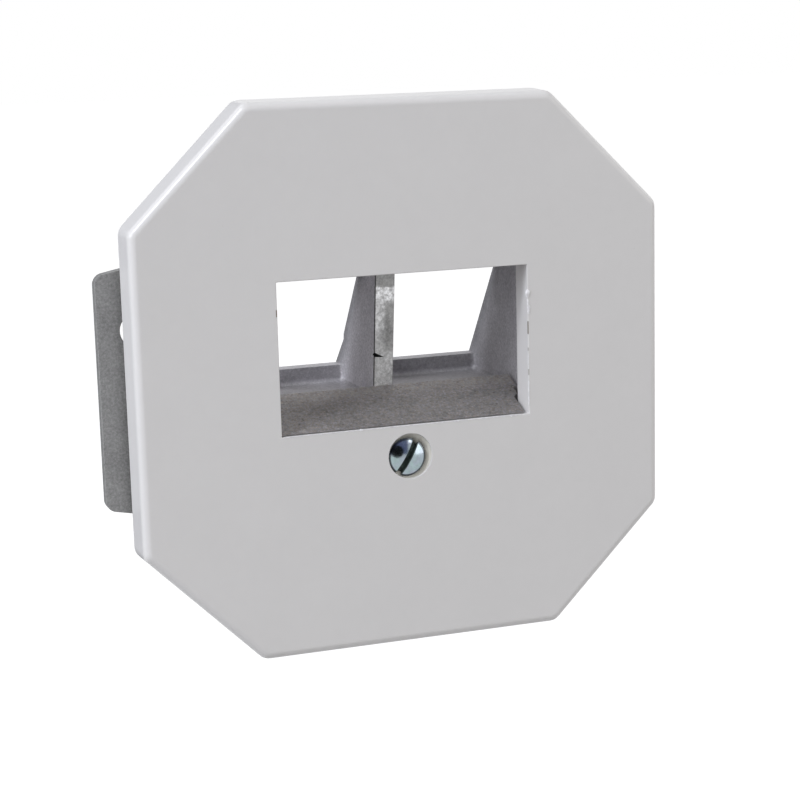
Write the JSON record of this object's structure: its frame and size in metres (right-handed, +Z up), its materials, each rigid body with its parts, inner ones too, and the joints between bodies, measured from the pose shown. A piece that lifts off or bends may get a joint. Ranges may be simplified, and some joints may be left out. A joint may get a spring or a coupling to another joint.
{
  "type": "keystone module frame",
  "caption": "Flush wall frame for snap-in keystone jacks: cast metal carrier with slanted jack bays, octagonal plastic cover plate with a window, and a slotted cover screw.",
  "frame": {"origin": "middle of the carrier's flange and of its wall-box screws, on the face that lies against the wall box", "axes": "+X to the right along the flange, +Y into the wall, +Z up; the cover plate faces -Y"},
  "size_m": [0.086, 0.0287, 0.08],
  "materials": {
    "white_plastic": "white moulded plastic, satin gloss",
    "cast_zinc": "die-cast zinc, dull grey with a fine speckle",
    "plated_steel": "steel, bright blue zinc plated"
  },
  "bodies": {
    "root": {"cover_plate": "white_plastic", "module_carrier": "cast_zinc", "cover_screw": "plated_steel"}
  },
  "joints": []
}
